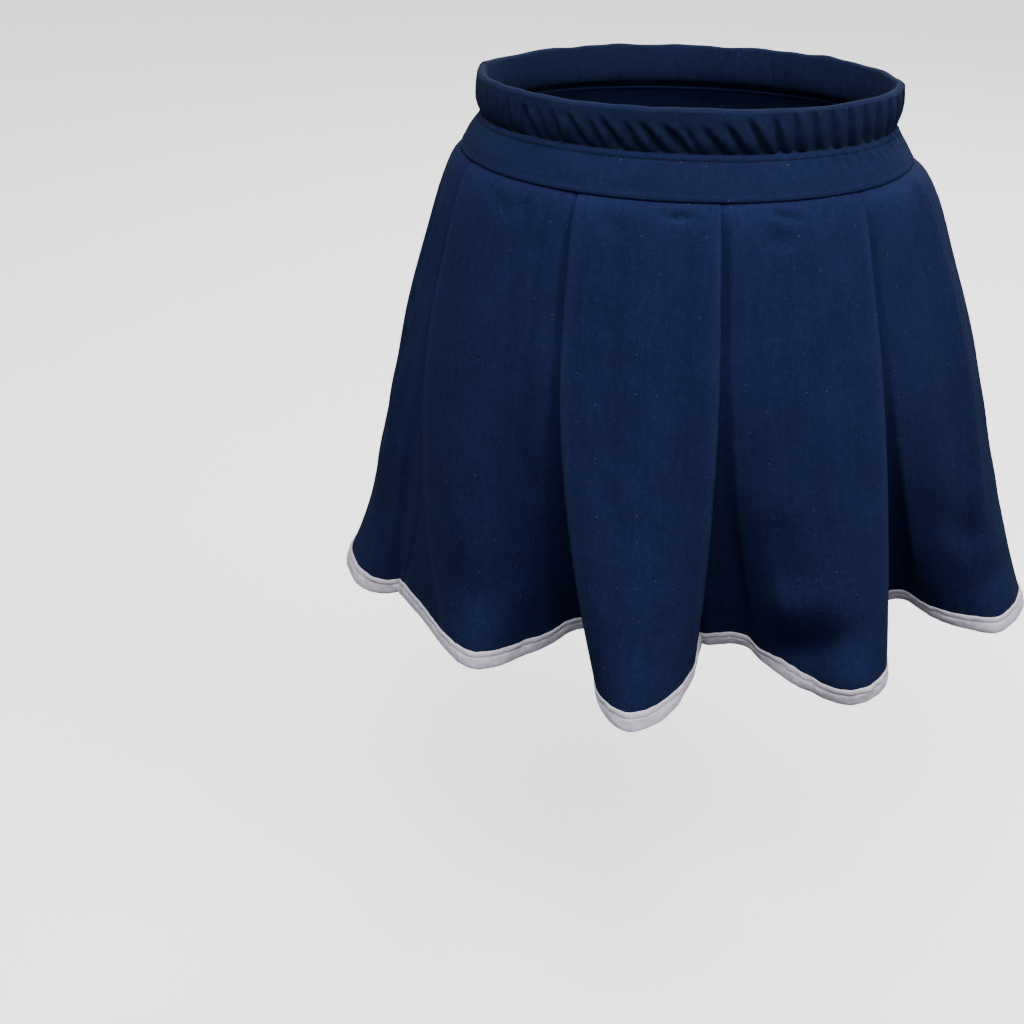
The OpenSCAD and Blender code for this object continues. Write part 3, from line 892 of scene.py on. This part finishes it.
def knit_height(n, uv_mm, wale, course):
    """Height of a plain knit: columns of small V stitches, from cloth coordinates in millimetres."""
    parts = n.add("SeparateXYZ", {"Vector": uv_mm})
    x = n.math("DIVIDE", parts.outputs[0], wale)
    y = n.math("DIVIDE", parts.outputs[1], course)
    across = n.math("ABSOLUTE", n.math("SUBTRACT", n.math("FRACT", x), 0.5))
    slanted = n.math("ADD", y, across)
    stitch = n.math("SINE", n.math("MULTIPLY", slanted, 2 * math.pi))
    column = n.math("MULTIPLY", across, n.math("SUBTRACT", 1.0, across))
    return n.math("ADD", n.math("MULTIPLY", stitch, 0.35), n.math("MULTIPLY", column, 3.2))


# Colour of the larger specks of lint, and of the fine fluff between them
LINT = (0.32, 0.32, 0.36, 1.0)
FLUFF = (0.14, 0.17, 0.30, 1.0)


def specks(n, uv_mm, scale, lo, hi, channel, least):
    """Small round specks in some cells of a grid of scattered points."""
    cell = n.add("TexVoronoi", {"Vector": uv_mm, "Scale": scale, "Randomness": 1.0},
                 voronoi_dimensions="2D")
    near = n.math("SUBTRACT", 1.0, n.ramp(cell.outputs["Distance"], lo, hi))
    chosen = n.add("SeparateColor", {"Color": cell.outputs["Color"]}).outputs[channel]
    return n.math("MULTIPLY", near, n.math("GREATER_THAN", chosen, least))


def cloth_material(name, colour, shade, rough, sheen, tint, wale=0.55, course=0.42, knit=0.10,
                   lint=0.0, crease_highlight=0.0):
    """Knitted cloth of uneven tone, with lint specks and with a painted highlight along its pleat creases,
    each as strong as its argument asks.
    """
    n = Nodes(name)
    uv = n.add("UVMap", uv_map="cloth").outputs["UV"]
    uv_mm = n.add("VectorMath", {0: uv, "Scale": 1000.0}, operation="SCALE").outputs[0]
    height = knit_height(n, uv_mm, wale, course)
    grain = n.add("TexNoise", {"Vector": uv_mm, "Scale": 1.35, "Detail": 4.0, "Roughness": 0.72})
    patch = n.add("TexNoise", {"Vector": uv_mm, "Scale": 0.022, "Detail": 3.0, "Roughness": 0.55})
    streak_at = n.add("Mapping", {"Vector": uv_mm, "Scale": (0.55, 0.035, 1.0)}).outputs[0]
    streak = n.add("TexNoise", {"Vector": streak_at, "Scale": 1.0, "Detail": 2.0, "Roughness": 0.5})
    mottle = n.add("TexNoise", {"Vector": uv_mm, "Scale": 0.26, "Detail": 3.0, "Roughness": 0.65})
    tone = n.math("MULTIPLY", grain.outputs["Fac"], 0.34)
    for part, share in ((patch, 0.22), (streak, 0.16), (mottle, 0.28)):
        tone = n.math("ADD", tone, n.math("MULTIPLY", part.outputs["Fac"], share))
    tone = n.ramp(tone, 0.39, 0.61)
    base = n.mix_colour(tone, (*shade, 1.0), (*colour, 1.0))
    # painted highlight: the pleat creases are made paler, standing in for the light their folds catch
    if crease_highlight > 0:
        crease = n.add("Attribute", attribute_name="crease").outputs["Fac"]
        painted_highlight = n.math("MULTIPLY", n.math("MULTIPLY", crease, crease_highlight), grain.outputs["Fac"])
        pale = tuple(min(1.0, c * 2.2 + 0.01) for c in colour)
        base = n.mix_colour(painted_highlight, base, (*pale, 1.0))
    if lint > 0:
        speck = n.math("MULTIPLY", specks(n, uv_mm, 0.085, 0.018, 0.034, 0, 0.86), lint)
        base = n.mix_colour(speck, base, LINT)
        fleck = n.math("MULTIPLY", specks(n, uv_mm, 0.31, 0.06, 0.13, 1, 0.62), lint * 0.45)
        base = n.mix_colour(fleck, base, FLUFF)
    rough_value = n.add("MapRange", {
        "Value": grain.outputs["Fac"], "From Min": 0.2, "From Max": 0.8,
        "To Min": rough - 0.06, "To Max": min(1.0, rough + 0.05),
    })
    fuzz = n.add("TexNoise", {"Vector": uv_mm, "Scale": 0.42, "Detail": 3.0, "Roughness": 0.6})
    tall = n.math("ADD", n.math("MULTIPLY", height, knit), n.math("MULTIPLY", grain.outputs["Fac"], 0.12))
    tall = n.math("ADD", tall, n.math("MULTIPLY", fuzz.outputs["Fac"], 0.16))
    bump = n.add("Bump", {"Height": tall, "Strength": 0.55, "Distance": 0.0011})
    shader = n.add("BsdfPrincipled", {
        "Base Color": base, "Roughness": rough_value.outputs[0], "Normal": bump.outputs[0],
        "Sheen Weight": sheen, "Sheen Roughness": 0.55, "Sheen Tint": (*tint, 1.0),
        "Specular IOR Level": 0.05,
    })
    n.tree.links.new(shader.outputs[0], n.out.inputs["Surface"])
    return n.material


def thread_material(name, colour):
    n = Nodes(name)
    where = n.add("TexCoord").outputs["Object"]
    twist = n.add("TexWave", {"Vector": where, "Scale": 900.0, "Distortion": 1.5, "Detail": 1.0},
                  wave_type="BANDS", bands_direction="DIAGONAL")
    shade = tuple(c * 0.55 for c in colour)
    base = n.mix_colour(twist.outputs["Fac"], (*shade, 1.0), (*colour, 1.0))
    bump = n.add("Bump", {"Height": twist.outputs["Fac"], "Strength": 0.5, "Distance": 0.0001})
    shader = n.add("BsdfPrincipled", {"Base Color": base, "Roughness": 0.62, "Normal": bump.outputs[0],
                                      "Specular IOR Level": 0.15})
    n.tree.links.new(shader.outputs[0], n.out.inputs["Surface"])
    return n.material


def elastic_material():
    n = Nodes("woven elastic")
    where = n.add("TexCoord").outputs["Object"]
    ribs = n.add("TexWave", {"Vector": where, "Scale": 260.0, "Distortion": 0.4}, bands_direction="Z")
    base = n.mix_colour(ribs.outputs["Fac"], (0.45, 0.45, 0.46, 1.0), (0.74, 0.74, 0.75, 1.0))
    bump = n.add("Bump", {"Height": ribs.outputs["Fac"], "Strength": 0.6, "Distance": 0.0004})
    shader = n.add("BsdfPrincipled", {"Base Color": base, "Roughness": 0.8, "Normal": bump.outputs[0]})
    n.tree.links.new(shader.outputs[0], n.out.inputs["Surface"])
    return n.material


NAVY = (0.0068, 0.0120, 0.0470)
NAVY_SHADE = (0.0042, 0.0074, 0.0310)
YOKE_NAVY = (0.0066, 0.0122, 0.0445)
YOKE_SHADE = (0.0042, 0.0078, 0.0300)
CASING_NAVY = (0.0062, 0.0108, 0.0360)
CASING_SHADE = (0.0042, 0.0072, 0.0260)
BLUE_SHEEN = (0.55, 0.65, 1.0)
CASING_SHEEN = (0.55, 0.62, 0.95)
WHITE = (0.60, 0.575, 0.67)
WHITE_SHADE = (0.46, 0.42, 0.51)

# the skirt knit has a painted highlight along its pleat creases
navy_knit = cloth_material("navy skirt knit", NAVY, NAVY_SHADE, 0.86, 0.012, BLUE_SHEEN,
                           lint=0.20, crease_highlight=0.25)
yoke_knit = cloth_material("navy yoke knit", YOKE_NAVY, YOKE_SHADE, 0.86, 0.012, BLUE_SHEEN,
                           lint=0.18)
casing_knit = cloth_material("navy casing knit", CASING_NAVY, CASING_SHADE, 0.88, 0.015,
                             CASING_SHEEN, lint=0.12)
white_knit = cloth_material("white binding knit", WHITE, WHITE_SHADE, 0.82, 0.12, (1.0, 1.0, 1.0),
                            wale=0.62, course=0.5, knit=0.14)
navy_thread = thread_material("navy thread", (0.0065, 0.0100, 0.0300))
white_thread = thread_material("white thread", (0.62, 0.61, 0.68))


def dress(obj, material):
    obj.data.materials.clear()
    obj.data.materials.append(material)


# ---------------------------------------------------------------- build
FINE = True

for index, panel in enumerate(PANELS):
    cloth, cols_u, rows_v, shaped = panel_cloth(index, FINE)
    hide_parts("panel_" + panel, "fold_" + FOLDS[index], "fold_" + FOLDS[index - 1])
    dress(cloth, navy_knit)
    blend_panel(cloth)
    solidify(cloth, CLOTH)
    binding, outline = binding_cloth(index, cols_u, rows_v, shaped)
    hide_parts("binding_" + panel,
                "fold_binding_" + FOLDS[index], "fold_binding_" + FOLDS[index - 1])
    dress(binding, white_knit)
    blend_panel(binding)
    stitches, stitch_u = hem_stitches(index, cols_u, outline)
    dress(stitches, white_thread)
    blend_panel(stitches)

for half in ("front", "back"):
    casing = casing_cloth(half, FINE)
    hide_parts("waistband_" + half)
    dress(casing, casing_knit)
    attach(casing, "waist")
    yoke = yoke_cloth(half, FINE)
    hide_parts("yoke_" + half)
    dress(yoke, yoke_knit)
    solidify(yoke, CLOTH, -1.0)
    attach(yoke, "waist")

thread = casing_stitches()
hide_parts("casing_stitching")
dress(thread, navy_thread)
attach(thread, "waist")

allowance, overlock = seam_allowance()
dress(allowance, yoke_knit)
solidify(allowance, CLOTH)
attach(allowance, "waist")
dress(overlock, navy_thread)
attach(overlock, "waist")

# the CAD elastic is kept, inside the casing
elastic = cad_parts["waist_elastic"]
elastic.data.materials.clear()
elastic.data.materials.append(elastic_material())

# ---------------------------------------------------------------- stage, light and camera
FLOOR_Z = -0.62


def stage_material():
    n = Nodes("pale studio paper")
    where = n.add("TexCoord").outputs["Object"]
    cloud = n.add("TexNoise", {"Vector": where, "Scale": 1.4, "Detail": 2.0})
    base = n.mix_colour(cloud.outputs["Fac"], (0.90, 0.90, 0.90, 1.0), (0.93, 0.93, 0.93, 1.0))
    shader = n.add("BsdfPrincipled", {"Base Color": base, "Roughness": 0.95, "Specular IOR Level": 0.1,
                                      "Emission Color": (1.0, 1.0, 1.0, 1.0), "Emission Strength": 1.1})
    n.tree.links.new(shader.outputs[0], n.out.inputs["Surface"])
    return n.material


def floor():
    """A wide plain floor that bounces no light onto the skirt."""
    size = 6.0
    steps = 48
    points = []
    for k in range(steps + 1):
        for m in range(steps + 1):
            x = size * (2 * k / steps - 1)
            y = size * (2 * m / steps - 1)
            points.append((x, y, FLOOR_Z))
    mesh = bpy.data.meshes.new("studio_floor")
    faces = grid_faces(steps + 1, steps + 1)
    mesh.from_pydata(points, [], [list(map(int, f))[::-1] for f in faces])
    obj = bpy.data.objects.new("studio_floor", mesh)
    bpy.context.scene.collection.objects.link(obj)
    obj.data.materials.append(stage_material())
    obj.visible_diffuse = False
    obj.visible_glossy = False
    return obj


floor()


def area_light(name, place, aim, size, power):
    data = bpy.data.lights.new(name, "AREA")
    data.shape = "DISK"
    data.size = size
    data.energy = power
    obj = bpy.data.objects.new(name, data)
    bpy.context.scene.collection.objects.link(obj)
    obj.location = place
    obj.rotation_euler = (Vector(aim) - Vector(place)).to_track_quat("-Z", "Y").to_euler()


area_light("key_light", (0.05, -1.15, 1.35), (0.0, 0.0, -0.15), 0.8, 24.5)
area_light("top_light", (0.0, -0.45, 0.95), (0.0, 0.0, 0.0), 0.7, 8.0)
area_light("right_light", (1.2, -0.5, 1.2), (0.0, 0.0, -0.15), 0.9, 30.0)
area_light("left_light", (-0.60, -0.30, 1.0), (-0.10, -0.05, 0.0), 0.5, 5.0)
area_light("back_light", (0.3, 2.0, 1.7), (0.0, 0.0, -0.2), 1.6, 62.0)


def studio_world():
    """Pale light from above that fades below the horizon."""
    world = bpy.data.worlds.new("studio")
    world.use_nodes = True
    tree = world.node_tree
    background = tree.nodes["Background"]
    where = tree.nodes.new("ShaderNodeTexCoord")
    parts = tree.nodes.new("ShaderNodeSeparateXYZ")
    ramp = tree.nodes.new("ShaderNodeMapRange")
    ramp.interpolation_type = "SMOOTHSTEP"
    ramp.inputs["From Min"].default_value = -0.42
    ramp.inputs["From Max"].default_value = 0.30
    ramp.inputs["To Min"].default_value = 0.05
    ramp.inputs["To Max"].default_value = 0.58
    tree.links.new(where.outputs["Generated"], parts.inputs[0])
    tree.links.new(parts.outputs[2], ramp.inputs["Value"])
    tree.links.new(ramp.outputs[0], background.inputs["Strength"])
    background.inputs["Color"].default_value = (0.95, 0.96, 1.0, 1.0)
    bpy.context.scene.world = world


studio_world()

camera_data = bpy.data.cameras.new("photo_camera")
camera_data.lens = CAMERA_LENS
camera_data.sensor_width = 36.0
camera_data.clip_start = 0.05
camera_data.clip_end = 50.0
camera = bpy.data.objects.new("photo_camera", camera_data)
bpy.context.scene.collection.objects.link(camera)
camera.location = CAMERA_AT
camera.rotation_euler = (CAMERA_TO - CAMERA_AT).to_track_quat("-Z", "Y").to_euler()
bpy.context.scene.camera = camera
